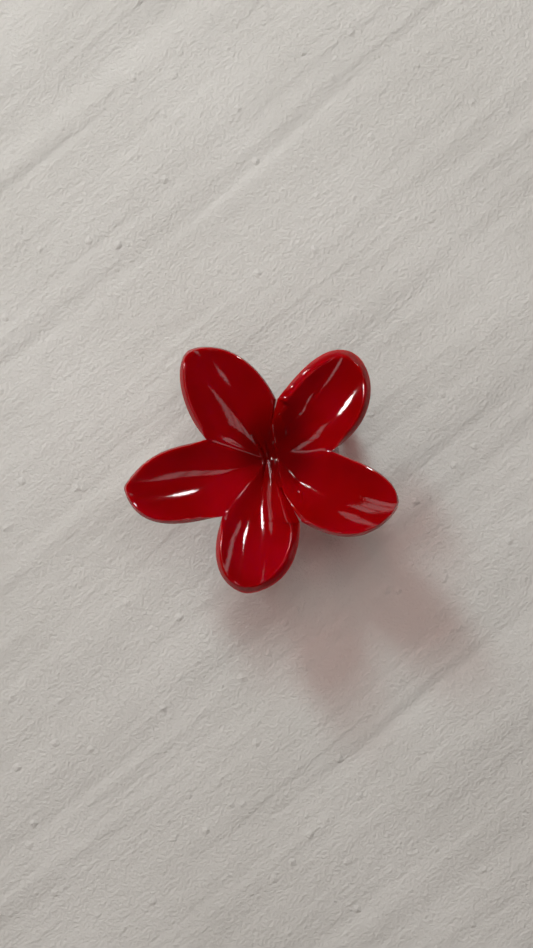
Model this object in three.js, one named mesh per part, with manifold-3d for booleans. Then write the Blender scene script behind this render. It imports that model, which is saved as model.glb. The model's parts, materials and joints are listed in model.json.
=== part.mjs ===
// Flower hair clip: a claw clip whose two squeeze levers are the petals of one open
// five-petal flower. Millimetres, +Z up. The clip stands on its closed claws with the
// flower facing up, and the hinge axis runs along Y. The origin is on the resting
// surface, under the point where the petals converge.
import * as THREE from 'three';
import { mergeVertices } from 'three/addons/utils/BufferGeometryUtils.js';
import Module from 'manifold-3d';

const wasm = await Module();
wasm.setup();

// ---------------------------------------------------------------- driving dimensions
const JOIN_GAP = 0.3; // between two solids of one moulding, and between neighbours at rest
const HINGE_X = 2.5; // the hinge axis, beside the point where the petals converge
const HINGE_Z = 31;

const SHEET = 2.3; // petal wall
const SHEET_AT_THROAT = 1.6; // petal wall where it passes over the hinge
const THROAT_Z = 34.6; // petal midline height at the centre
const PETAL_RISE = 11.4; // from the throat to a petal's tip
const PETAL_REACH = 40; // radius at which that rise is complete
const RISE_POWER = 1.7;
const CUP = 3.4; // how far a petal's long edges stand above its midline
const CUP_REACH = 41.5;
const STEEPEST = 0.75; // the wall is measured square to a slope down to this cosine
const THROAT_HOLE = 1.4; // inner radius of the three petals that reach the centre
const SEAM_X = HINGE_X + 0.6; // inner edge of the two petals that end at the seam
const FLOOR = 1.5; // wall of the throat's floor, over the pin
const FLOOR_REACH_Y = 8.2;
const FLOOR_START_X = 0.42; // its edge beside the centre, which falls back along the ridges
const FLOOR_SLOPE = 0.33;
const FLOOR_OVERLAP = 1.3; // how far it reaches back into the hole at the centre

// A barrel-shaped surface round the hinge axis parts the two halves: the three-petal
// half stays inside it near the seam, and the two-petal half outside it.
const BARREL_MIN_R = 3.1; // over the pin
const BARREL_MAX_R = 6.5; // at the notches that end the seam
const BARREL_WAIST_Y = 2.5;
const BARREL_END_Y = [-20, 17];
const BARREL_FLARE = 0.25; // past the notches, mm of radius per mm squared
const BARREL_LIMIT_R = 11.2;
const BARREL_REACH_Y = 30;
const SEAM_LIP = 1.2; // edge of the two-petal half above the barrel
const HOOD_X = HINGE_X - 1.6; // the barrel limits the three-petal half only right of this
const HOOD_END_Y = [BARREL_END_Y[0] - 3, BARREL_END_Y[1] + 3]; // and only between these

const OUTSIDE = 60; // beyond every surface of the clip, in x and in z

const JAW_WIDTH = 42;
const JAW_WALL = 2.4;
const JAW_REACH = 20; // widest point, out from the hinge axis
const JAW_REACH_Z = 17;
const JAW_SPLIT = 0.47; // share of the jaw's path that is wall; the rest is teeth
const TOOTH_PITCH = 4.9; // between neighbouring teeth of opposite jaws
const TOOTH_WIDTH = 3;
const TOOTH_TIP = 1.3; // thickness at the tip
const TOOTH_CROSSING = 3.5; // how far a tip passes the hinge plane

// The neck joins a jaw's upper edge to the underside of the petals.
const NECK_FROM = 6.2; // out from the hinge axis
const NECK_TO = 11;
const NECK_Z = 32.35;
const NECK_WIDTH = 22;

const PIN_R = 1;
const PIN_HEAD_R = 1.7;
const PIN_HEAD = 0.7;
const EYE_R = 2.5;
const EYE_BORE_R = 1.1;
const EYE_LENGTH = 2.8;
const ARM_LENGTH = 6.5; // from the hinge axis to where an eye's arm ends under the neck
const THREE_PETAL_EYES_Y = [-14.6, 13.6];
const TWO_PETAL_EYES_Y = [-11.4, 10.4];

const WIRE_R = 0.4;
const COIL_R = 1.85;
const COIL_TURNS = 4; // whole turns between the legs
const COIL_PITCH = 0.95;
const COIL_START_Y = -9.1;
const LEG_LENGTH = 17;
const LEG_ANGLE = 22; // below level

// Petals in plan. A notch is the point where two petals part, and a tip is a petal's end.
// Each side of a petal leaves its notch at an angle to the petal's axis and comes to the
// tip at another, and fullness says how far each direction holds.
const NOTCHES = {
  upper: { angle: 71.5, radius: 18 },
  upper_left: { angle: 152, radius: 19 },
  lower_left: { angle: 221, radius: 21.5 },
  lower: { angle: 287, radius: 21 },
  right: { angle: 356.5, radius: 18.6 },
};
const side = (notch, leave, leaveFullness, arrive, arriveFullness) => ({
  notch: NOTCHES[notch], leave, leaveFullness, arrive, arriveFullness,
});
const PETALS = {
  upper_left_petal: {
    tip: { angle: 115.8, radius: 39.7 },
    right: side('upper', 10.5, 11, 71.5, 12),
    left: side('upper_left', 16, 6, 77, 9.5),
  },
  left_petal: {
    tip: { angle: 180.5, radius: 42.9 },
    right: side('upper_left', 0, 10, 48, 12.4),
    left: side('lower_left', 3.5, 11.6, 88, 14.6),
  },
  lower_petal: {
    tip: { angle: 250.5, radius: 40.1 },
    right: side('lower_left', 14, 10.3, 85.5, 10),
    left: side('lower', 10, 7.7, 74.5, 13.8),
  },
  upper_right_petal: {
    tip: { angle: 38.5, radius: 40.1 },
    right: side('right', 23, 13.4, 86, 10.4),
    left: side('upper', 2.5, 8, 86, 11.3),
    seam: true,
  },
  right_petal: {
    tip: { angle: 328.5, radius: 40.6 },
    right: side('lower', 9.5, 12.7, 76.5, 12.5),
    left: side('right', 5, 13.8, 84.5, 7.3),
    seam: true,
  },
};
const SEAM_NOTCHES = [NOTCHES.upper, NOTCHES.lower];

// ------------------------------------------------------------------------- materials
const material = (color, roughness, metalness) =>
  new THREE.MeshStandardMaterial({ color, roughness, metalness });
const redPlastic = material(0x8a0306, 0.16, 0);
const springSteel = material(0x9c9fa3, 0.3, 1);
const pinSteel = material(0xb9bbbd, 0.25, 1);

// --------------------------------------------------------------------------- helpers
const rad = THREE.MathUtils.degToRad;
const smooth = (t) => THREE.MathUtils.smoothstep(t, 0, 1);
const polar = ({ angle, radius }) =>
  new THREE.Vector2(radius * Math.cos(rad(angle)), radius * Math.sin(rad(angle)));

function toSolid(geometry) {
  const bare = geometry.clone();
  for (const name of Object.keys(bare.attributes)) {
    if (name !== 'position') bare.deleteAttribute(name);
  }
  const merged = mergeVertices(bare, 1e-4);
  const corners = Array.from(merged.index.array);
  const kept = [];
  for (let i = 0; i < corners.length; i += 3) {
    const [a, b, c] = corners.slice(i, i + 3);
    if (a !== b && b !== c && c !== a) kept.push(a, b, c);
  }
  return new wasm.Manifold(new wasm.Mesh({
    numProp: 3,
    vertProperties: new Float32Array(merged.attributes.position.array),
    triVerts: new Uint32Array(kept),
  }));
}

function toGeometry(solid) {
  const mesh = solid.getMesh();
  const geometry = new THREE.BufferGeometry();
  geometry.setAttribute('position', new THREE.BufferAttribute(mesh.vertProperties, 3));
  geometry.setIndex(new THREE.BufferAttribute(mesh.triVerts, 1));
  return geometry;
}

function piece(name, geometry, finish) {
  const mesh = new THREE.Mesh(geometry, finish);
  mesh.name = name;
  return mesh;
}

// A closed shell between two grids of points of the same size. Grid rows run along the
// first index. The first grid is the outer face when its normal points up.
function shell(upper, lower) {
  const rows = upper.length;
  const columns = upper[0].length;
  const positions = [...upper.flat(), ...lower.flat()].flatMap((p) => [p.x, p.y, p.z]);
  const top = (i, j) => i * columns + j;
  const bottom = (i, j) => rows * columns + i * columns + j;
  const faces = [];
  const quad = (a, b, c, d) => faces.push(a, b, c, a, c, d);
  for (let i = 0; i + 1 < rows; i++) {
    for (let j = 0; j + 1 < columns; j++) {
      quad(top(i, j), top(i + 1, j), top(i + 1, j + 1), top(i, j + 1));
      quad(bottom(i, j), bottom(i, j + 1), bottom(i + 1, j + 1), bottom(i + 1, j));
    }
    const last = columns - 1;
    quad(top(i, 0), bottom(i, 0), bottom(i + 1, 0), top(i + 1, 0));
    quad(top(i, last), top(i + 1, last), bottom(i + 1, last), bottom(i, last));
  }
  for (let j = 0; j + 1 < columns; j++) {
    const last = rows - 1;
    quad(top(0, j), top(0, j + 1), bottom(0, j + 1), bottom(0, j));
    quad(top(last, j), bottom(last, j), bottom(last, j + 1), top(last, j + 1));
  }
  const geometry = new THREE.BufferGeometry();
  geometry.setAttribute('position', new THREE.Float32BufferAttribute(positions, 3));
  geometry.setIndex(faces);
  return geometry;
}

const rectangle = (fromX, fromZ, toX, toZ) => [
  [fromX, fromZ], [toX, fromZ], [toX, toZ], [fromX, toZ],
];

// An outline in the X-Z plane, made into a solid from fromY to toY.
function alongY(points, fromY, toY) {
  const outline = new THREE.Shape(points.map(([x, z]) => new THREE.Vector2(x, z)));
  const geometry = new THREE.ExtrudeGeometry(outline, { depth: toY - fromY, bevelEnabled: false });
  return geometry.rotateX(Math.PI / 2).translate(0, toY, 0);
}

// A body turned round the hinge axis from [radius, y] stations.
function roundHinge(stations, segments) {
  const profile = stations.map(([r, y]) => new THREE.Vector2(r, y));
  return new THREE.LatheGeometry(profile, segments).translate(HINGE_X, 0, HINGE_Z);
}

// ---------------------------------------------------------------- the seam's barrel
function barrelRadius(y) {
  const [low, high] = BARREL_END_Y;
  const end = y < BARREL_WAIST_Y ? low : high;
  const share = Math.min(1, (y - BARREL_WAIST_Y) / (end - BARREL_WAIST_Y));
  const past = Math.max(0, y - high, low - y);
  const radius = THREE.MathUtils.lerp(BARREL_MIN_R, BARREL_MAX_R, smooth(share));
  return Math.min(BARREL_LIMIT_R, radius + BARREL_FLARE * past * past);
}

// Height above the hinge axis of the barrel grown by lip, at a point in plan.
function barrelHeight(point, lip) {
  const out = point.x - HINGE_X;
  return Math.sqrt(Math.max(0, (barrelRadius(point.y) + lip) ** 2 - out * out));
}

function barrel(grow) {
  const step = 1.5;
  const stations = [[0, -BARREL_REACH_Y]];
  for (let y = -BARREL_REACH_Y; y <= BARREL_REACH_Y; y += step) {
    stations.push([barrelRadius(y) + grow, y]);
  }
  stations.push([0, BARREL_REACH_Y]);
  return toSolid(roundHinge(stations, 72));
}

const barrelOutside = barrel(JOIN_GAP);
const besideHood = rectangle(HOOD_X, HINGE_Z, OUTSIDE, OUTSIDE);
const hoodSpace = toSolid(alongY(besideHood, ...HOOD_END_Y)).subtract(barrel(0));

// -------------------------------------------------------------------------- petals
const midlineHeight = (radius) => THROAT_Z + PETAL_RISE * (radius / PETAL_REACH) ** RISE_POWER;

function edgeLift(radius) {
  return CUP * Math.sin(Math.PI * Math.min(1, radius / CUP_REACH) ** 1.2);
}

// Along a ridge that the seam follows, the surface keeps to the barrel. Past the notch it
// climbs back to the common rim.
function seamLift(point, lip) {
  const radius = point.length();
  const barrelTop = HINGE_Z + Math.min(barrelHeight(point, lip), BARREL_MAX_R + lip);
  const lift = barrelTop - midlineHeight(radius);
  const notchRadius = SEAM_NOTCHES[point.y > 0 ? 0 : 1].radius;
  return THREE.MathUtils.lerp(lift, edgeLift(radius), smooth((radius - notchRadius) / 6));
}

function sideCurve(petal, which) {
  const { notch, leave, leaveFullness, arrive, arriveFullness } = petal[which];
  const tip = polar(petal.tip);
  const along = tip.clone().normalize();
  const across = new THREE.Vector2(-along.y, along.x).multiplyScalar(which === 'left' ? 1 : -1);
  const corner = polar(notch);
  const handle = (from, angle, length, sign) => from.clone()
    .addScaledVector(along, sign * length * Math.cos(rad(angle)))
    .addScaledVector(across, length * Math.sin(rad(angle)));
  const rim = new THREE.CubicBezierCurve(
    corner, handle(corner, leave, leaveFullness, 1), handle(tip, arrive, arriveFullness, -1), tip,
  );
  const start = petal.seam
    ? corner.clone().multiplyScalar(SEAM_X / corner.x)
    : corner.clone().setLength(THROAT_HOLE);
  const ridgeShare = 0.4;
  return (s) => (s < ridgeShare
    ? start.clone().lerp(corner, s / ridgeShare)
    : rim.getPoint((s - ridgeShare) / (1 - ridgeShare)));
}

function petalGeometry(petal, inset) {
  const rows = 20;
  const columns = 12;
  const right = sideCurve(petal, 'right');
  const left = sideCurve(petal, 'left');
  const plan = (s, v) => {
    const a = right(s);
    const b = left(s);
    const step = b.clone().sub(a).setLength(Math.min(inset, a.distanceTo(b) / 4));
    return a.add(step).lerp(b.sub(step), (v + 1) / 2);
  };
  const surface = (s, v) => {
    const p = plan(s, v);
    const onSeam = SEAM_NOTCHES.includes(petal[v < 0 ? 'right' : 'left'].notch);
    const lift = onSeam ? seamLift(p, petal.seam ? SEAM_LIP : 0) : edgeLift(p.length());
    const height = midlineHeight(p.length()) + lift * v * v;
    const overBarrel = petal.seam && p.y > HOOD_END_Y[0] && p.y < HOOD_END_Y[1];
    const clear = overBarrel ? HINGE_Z + barrelHeight(p, SEAM_LIP) : 0;
    return new THREE.Vector3(p.x, p.y, Math.max(height, clear));
  };
  const upper = [];
  const lower = [];
  const tipEnd = 0.996;
  for (let i = 0; i <= rows; i++) {
    const s = tipEnd * Math.sin(Math.PI / 2 * i / rows);
    upper.push([]);
    lower.push([]);
    for (let j = 0; j <= columns; j++) {
      const v = -1 + 2 * j / columns;
      const p = surface(s, v);
      const near = 0.01;
      const alongS = surface(s + near, v).sub(surface(Math.max(0, s - near), v));
      const alongV = surface(s, Math.min(1, v + near)).sub(surface(s, Math.max(-1, v - near)));
      const normal = alongS.cross(alongV).normalize();
      const thickened = smooth((Math.hypot(p.x, p.y) - 8) / 12);
      const wall = THREE.MathUtils.lerp(SHEET_AT_THROAT, SHEET, thickened);
      upper[i].push(p);
      lower[i].push(new THREE.Vector3(p.x, p.y, p.z - wall / Math.max(normal.z, STEEPEST)));
    }
  }
  return shell(upper, lower);
}

// ---------------------------------------------------------------------------- jaws
// The outer face of a jaw, out from the hinge axis, from under the petals, round the
// barrel and along the flat that the clip stands on, to the tooth's tip.
const jawPath = new THREE.CurvePath();
const at = (x, z) => new THREE.Vector2(x, z);
jawPath.add(new THREE.CubicBezierCurve(
  at(7.2, 32), at(14, 30.8), at(JAW_REACH, 25.5), at(JAW_REACH, JAW_REACH_Z),
));
jawPath.add(new THREE.CubicBezierCurve(
  at(JAW_REACH, JAW_REACH_Z), at(JAW_REACH, 7), at(16, 0), at(9, 0),
));
jawPath.add(new THREE.LineCurve(at(9, 0), at(-0.5, 0)));
jawPath.add(new THREE.QuadraticBezierCurve(
  at(-0.5, 0), at(-TOOTH_CROSSING + 1, 0), at(-TOOTH_CROSSING, 1),
));

function jawOutline(from, to, steps, direction) {
  const outer = [];
  const inner = [];
  for (let i = 0; i <= steps; i++) {
    const share = from + (to - from) * i / steps;
    const p = jawPath.getPointAt(share);
    const tangent = jawPath.getTangentAt(share);
    const thinning = smooth((share - 0.75) / 0.25);
    const wall = THREE.MathUtils.lerp(JAW_WALL, TOOTH_TIP, thinning);
    outer.push([HINGE_X + direction * p.x, p.y]);
    inner.push([HINGE_X + direction * (p.x + tangent.y * wall), p.y - tangent.x * wall]);
  }
  const outline = [...outer, ...inner.reverse()];
  return direction > 0 ? outline.reverse() : outline;
}

const jawLength = jawPath.getLength();
const toothShare = JAW_SPLIT + JOIN_GAP / jawLength;

function jawWall(direction, petalsAbove) {
  const wall = alongY(jawOutline(0, JAW_SPLIT, 14, direction), -JAW_WIDTH / 2, JAW_WIDTH / 2);
  return toGeometry(toSolid(wall).subtract(petalsAbove.translate([0, 0, -JOIN_GAP])));
}

function tooth(direction, y) {
  const outline = jawOutline(toothShare, 1, 18, direction);
  return alongY(outline, y - TOOTH_WIDTH / 2, y + TOOTH_WIDTH / 2);
}

// Fills the space between a jaw's upper edge and the petals above it.
function neck(direction, petalsAbove) {
  const inner = HINGE_X + direction * NECK_FROM;
  const outer = HINGE_X + direction * NECK_TO;
  const section = rectangle(Math.min(inner, outer), NECK_Z, Math.max(inner, outer), OUTSIDE);
  const block = toSolid(alongY(section, -NECK_WIDTH / 2, NECK_WIDTH / 2));
  const parts = block.subtract(petalsAbove.translate([0, 0, -JOIN_GAP])).decompose();
  const lowest = parts.reduce((a, b) => (a.boundingBox().max[2] < b.boundingBox().max[2] ? a : b));
  return toGeometry(lowest);
}

// -------------------------------------------------------------- hinge and its spring
function hingeEye(direction, y) {
  const from = y - EYE_LENGTH / 2;
  const to = y + EYE_LENGTH / 2;
  const tail = HINGE_X + direction * ARM_LENGTH;
  const low = HINGE_Z - 1.2;
  const high = HINGE_Z + 1;
  const corners = [[HINGE_X, low], [tail, low], [tail, high], [HINGE_X, high]];
  const arm = toSolid(alongY(direction > 0 ? corners : corners.reverse(), from, to));
  const ring = toSolid(roundHinge([[0, from], [EYE_R, from], [EYE_R, to], [0, to]], 32));
  const bore = toSolid(roundHinge([
    [0, from - 1], [EYE_BORE_R, from - 1], [EYE_BORE_R, to + 1], [0, to + 1],
  ], 32));
  return toGeometry(ring.add(arm).subtract(bore));
}

function hingePin() {
  const [low, high] = THREE_PETAL_EYES_Y;
  const from = low - EYE_LENGTH / 2 - JOIN_GAP;
  const to = high + EYE_LENGTH / 2 + JOIN_GAP;
  return roundHinge([
    [0, from - PIN_HEAD], [PIN_HEAD_R, from - PIN_HEAD], [PIN_HEAD_R, from], [PIN_R, from],
    [PIN_R, to], [PIN_HEAD_R, to], [PIN_HEAD_R, to + PIN_HEAD], [0, to + PIN_HEAD],
  ], 24);
}

// The coil starts and ends where its tangents point down the two jaws.
class SpringPath extends THREE.Curve {
  getPoint(t) {
    const tilt = rad(LEG_ANGLE);
    const firstAngle = -Math.PI / 2 + tilt;
    const turned = 2 * Math.PI * (COIL_TURNS + 1) - 2 * tilt;
    const coilLength = turned * COIL_R;
    const length = coilLength + 2 * LEG_LENGTH;
    const along = t * length - LEG_LENGTH;
    const onCoil = THREE.MathUtils.clamp(along, 0, coilLength);
    const angle = firstAngle + onCoil / COIL_R;
    const beyond = along - onCoil;
    const y = COIL_START_Y + COIL_PITCH * onCoil / (2 * Math.PI * COIL_R);
    return new THREE.Vector3(
      HINGE_X + COIL_R * Math.cos(angle) - beyond * Math.sin(angle),
      y,
      HINGE_Z + COIL_R * Math.sin(angle) + beyond * Math.cos(angle),
    );
  }
}

function torsionSpring() {
  const section = new THREE.Shape().absarc(0, 0, WIRE_R, 0, 2 * Math.PI);
  return new THREE.ExtrudeGeometry(section, {
    extrudePath: new SpringPath(), steps: 90, curveSegments: 4, bevelEnabled: false,
  });
}

// ------------------------------------------------------------------- throat between
function throatFloor() {
  const rows = 16;
  const columns = 4;
  const upper = [];
  const lower = [];
  for (let i = 0; i <= rows; i++) {
    const y = FLOOR_REACH_Y - 2 * FLOOR_REACH_Y * i / rows;
    const overHole = FLOOR_OVERLAP * Math.max(0, 1 - Math.abs(y) / THROAT_HOLE);
    const fromX = FLOOR_SLOPE * Math.abs(y) + FLOOR_START_X - overHole;
    const toX = SEAM_X - JOIN_GAP;
    upper.push([]);
    lower.push([]);
    for (let j = 0; j <= columns; j++) {
      const x = THREE.MathUtils.lerp(fromX, toX, j / columns);
      const out = Math.max(0, x - HINGE_X);
      const onBarrel = HINGE_Z + Math.sqrt(barrelRadius(y) ** 2 - out * out);
      const z = THREE.MathUtils.lerp(Math.max(THROAT_Z, onBarrel), onBarrel, smooth(j / columns));
      upper[i].push(new THREE.Vector3(x, y, z));
      lower[i].push(new THREE.Vector3(x, y, z - FLOOR));
    }
  }
  return shell(upper, lower);
}

// ------------------------------------------------------------------------- assembly
const threePetalHalf = new THREE.Group();
const twoPetalHalf = new THREE.Group();
const hardware = new THREE.Group();

for (const [name, petal] of Object.entries(PETALS)) {
  const solid = toSolid(petalGeometry(petal, JOIN_GAP / 2));
  const parted = solid.subtract(petal.seam ? barrelOutside : hoodSpace);
  (petal.seam ? twoPetalHalf : threePetalHalf).add(piece(name, toGeometry(parted), redPlastic));
}
const floorSolid = toSolid(throatFloor()).subtract(hoodSpace);
threePetalHalf.add(piece('throat_floor', toGeometry(floorSolid), redPlastic));

const wholeFlower = Object.values(PETALS)
  .map((petal) => toSolid(petalGeometry(petal, 0)))
  .reduce((a, b) => a.add(b));

const halves = [
  { half: threePetalHalf, label: 'three_petal', direction: -1, teeth: 5, eyes: THREE_PETAL_EYES_Y },
  { half: twoPetalHalf, label: 'two_petal', direction: 1, teeth: 4, eyes: TWO_PETAL_EYES_Y },
];
for (const { half, label, direction, teeth, eyes } of halves) {
  half.add(piece(`${label}_jaw`, jawWall(direction, wholeFlower), redPlastic));
  half.add(piece(`${label}_neck`, neck(direction, wholeFlower), redPlastic));
  for (let i = 0; i < teeth; i++) {
    const y = (i - (teeth - 1) / 2) * 2 * TOOTH_PITCH;
    half.add(piece(`${label}_tooth_${i + 1}`, tooth(direction, y), redPlastic));
  }
  eyes.forEach((y, i) => {
    half.add(piece(`${label}_hinge_eye_${i + 1}`, hingeEye(direction, y), redPlastic));
  });
}
hardware.add(piece('hinge_pin', hingePin(), pinSteel));
hardware.add(piece('torsion_spring', torsionSpring(), springSteel));

const flowerClip = new THREE.Group();
flowerClip.add(threePetalHalf, twoPetalHalf, hardware);
export default flowerClip;
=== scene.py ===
"""The flower hair clip's looks: two glossy red mouldings, the steel pin and the spring,
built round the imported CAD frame. Shapes are worked out in millimetres."""
import json
import math

import bmesh
import bpy
import numpy as np
from mathutils import Matrix, Vector
from mathutils.bvhtree import BVHTree


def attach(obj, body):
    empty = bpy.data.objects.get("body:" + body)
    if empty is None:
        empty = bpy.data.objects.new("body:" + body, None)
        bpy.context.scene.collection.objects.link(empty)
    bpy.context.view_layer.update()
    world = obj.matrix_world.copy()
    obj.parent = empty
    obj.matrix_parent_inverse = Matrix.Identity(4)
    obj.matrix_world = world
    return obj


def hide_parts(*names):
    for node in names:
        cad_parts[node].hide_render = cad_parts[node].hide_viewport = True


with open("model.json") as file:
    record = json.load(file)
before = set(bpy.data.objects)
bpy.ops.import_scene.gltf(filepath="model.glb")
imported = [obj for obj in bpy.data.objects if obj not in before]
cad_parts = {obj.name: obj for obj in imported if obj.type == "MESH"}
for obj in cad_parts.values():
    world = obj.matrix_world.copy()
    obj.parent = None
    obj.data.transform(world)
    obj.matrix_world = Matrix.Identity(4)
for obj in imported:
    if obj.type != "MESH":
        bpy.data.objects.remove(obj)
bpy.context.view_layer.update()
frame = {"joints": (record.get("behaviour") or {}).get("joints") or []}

MM = 0.001

# ------------------------------------------------------------------ shared dimensions
HINGE = frame["joints"][0]["pos_m"]
HINGE_X, HINGE_Z = HINGE[0] / MM, HINGE[2] / MM

THROAT_Z = 34.6  # petal midline height at the centre
PETAL_RISE = 11.4
PETAL_REACH = 40.0
RISE_POWER = 1.7
CUP = 3.4  # how far a petal's long edges stand above its midline
CUP_REACH = 41.5
CUP_SKEW = 1.2  # above 1 the cup is deepest past the middle of its reach
CUP_PEAK = CUP_REACH * 0.5 ** (1 / CUP_SKEW)  # past here the cup gets no deeper
SEAM_X = HINGE_X + 0.6
THROAT_HOLE = 0.05
SEAM_LAP = 0.5  # how far the two-petal half's edge laps over the other half
LAP_ROUND = 0.35

# The halves part on a surface of revolution round the hinge axis, as high as the petals'
# shared ridges would be. It dips over the throat, and fades out past the notches.
THROAT_DIP, THROAT_DIP_Y, THROAT_DIP_WIDTH = 0.55, 2.5, 5.0
RIDGE_SINE = 0.95  # y of a point on a seam ridge, as a share of its radius
SEAM_END_Y = (-25.0, 22.0)
HOOD_REACH = 0.52  # of the barrel's radius: how far the lap travels over the other half
HOOD_CLIMB = 1.6  # slope of the three-petal half past the hood
HALF_GAP = 0.3
HOOD_PLAY = 0.1

SHEET = 2.3
SHEET_AT_THROAT = 1.6
SHEET_GROWS_FROM, SHEET_GROWS_OVER = 8, 12
CREST = 0.76  # share of a petal's half width where its shared ridge begins to round over

# Petals in plan: a notch is where two petals part; each side leaves its notch at an
# angle to the petal's axis and comes to the tip at another, each with a fullness.
NOTCHES = {
    "upper": (71.5, 18.0),
    "upper_left": (152.0, 19.0),
    "lower_left": (221.0, 21.5),
    "lower": (287.0, 21.0),
    "right": (356.5, 18.6),
}


class Side:
    """One long side of a petal. band is the width of edge face that shows from above."""

    def __init__(self, notch, leave, leave_full, arrive, arrive_full, band, seam=False):
        self.notch, self.leave, self.leave_full = notch, leave, leave_full
        self.arrive, self.arrive_full = arrive, arrive_full
        self.band, self.seam = band, seam


PETALS = {
    "upper_left": dict(
        tip=(115.8, 39.7), half="three", crease_reach=60.0,
        right=Side("upper", 10.5, 11.0, 71.5, 12.0, 0.6, seam=True),
        left=Side("upper_left", 16.0, 6.0, 77.0, 9.5, 1.4),
    ),
    "left": dict(
        tip=(180.5, 42.9), half="three", tip_share=0.98,
        right=Side("upper_left", 0.0, 10.0, 48.0, 12.4, 0.7),
        left=Side("lower_left", 3.5, 11.6, 88.0, 14.6, 1.2),
    ),
    "lower": dict(
        tip=(250.5, 40.1), half="three",
        right=Side("lower_left", 14.0, 10.3, 85.5, 10.0, 1.5),
        left=Side("lower", 10.0, 7.7, 74.5, 13.8, 2.8, seam=True),
    ),
    "upper_right": dict(
        tip=(38.5, 40.1), half="two",
        right=Side("right", 23.0, 13.4, 86.0, 10.4, 2.0),
        left=Side("upper", 2.5, 8.0, 86.0, 11.3, 2.6, seam=True),
    ),
    "right": dict(
        tip=(328.5, 40.6), half="two",
        right=Side("lower", 9.5, 12.7, 76.5, 12.5, 1.2, seam=True),
        left=Side("right", 5.0, 13.8, 84.5, 7.3, 0.6),
    ),
}


# --------------------------------------------------------------------------- helpers
def smooth(t):
    t = min(1.0, max(0.0, t))
    return t * t * (3 - 2 * t)


def mix(a, b, t):
    return a + (b - a) * t


def polar(angle, radius):
    return np.array([math.cos(math.radians(angle)), math.sin(math.radians(angle))]) * radius


def bezier(points, t):
    a, b, c, d = points
    u = 1 - t
    return a * u**3 + b * 3 * u * u * t + c * 3 * u * t * t + d * t**3


def unit(v):
    return v / max(np.linalg.norm(v), 1e-9)


# ------------------------------------------------------------------- flower surfaces
def barrel_radius(y):
    ridge = abs(y) / RIDGE_SINE
    dip = THROAT_DIP * math.exp(-((y - THROAT_DIP_Y) / THROAT_DIP_WIDTH) ** 2)
    return midline(ridge) + edge_lift(ridge) - HINGE_Z - dip


def barrel_top(x, y, grow):
    out = x - HINGE_X
    return HINGE_Z + math.sqrt(max(0.0, (barrel_radius(y) + grow) ** 2 - out * out))


def midline(radius):
    return THROAT_Z + PETAL_RISE * (radius / PETAL_REACH) ** RISE_POWER


def edge_lift(radius):
    return CUP * math.sin(math.pi * min(1.0, radius / CUP_REACH) ** CUP_SKEW)


RIDGE_SHARE = 0.4  # of a petal's length, from the throat to its notches
NOTCH_EASE, EASE_STEPS = 0.14, 4
SEAM_LIP, SEAM_LIP_FADE = 0.95, 6
SEAM_BLEND, HOOD_BLEND = 0.3, 0.5
CUP_POWERS = 1.25, 2.2  # of the cup across a petal, near the throat and near the rim
CREASE_FROM = 6
CREST_FROM, CREST_FADE = -2, 4  # out from the notch
TIP_TURN = 0.86  # share of a petal's length past which its edge faces along the petal
TIP_BAND_FROM = 0.8
BAND_GROWS = 0.12  # past the notch
LAP_FADE_FROM, LAP_FADE = 0.2, 0.2
SLOPE_STEP = 0.004


def soft_max(a, b, blend):
    """The larger of a and b, blended where they are close."""
    if abs(a - b) >= blend:
        return max(a, b)
    return max(a, b) + (blend - abs(a - b)) ** 2 / (4 * blend)


def cup_profile(u, power, crested):
    """Height across a petal, from 0 on its midline to about 1 at u = 1. A crest flattens
    out at the ridge, so that two petals pass into each other in a round ridge."""
    plain = u**power
    if u <= CREST:
        return plain
    slope = power * CREST ** (power - 1)
    t = (u - CREST) / (1 - CREST)
    crest = CREST**power + slope * (1 - CREST) * (t - t * t / 2)
    return mix(plain, crest, crested)


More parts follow.
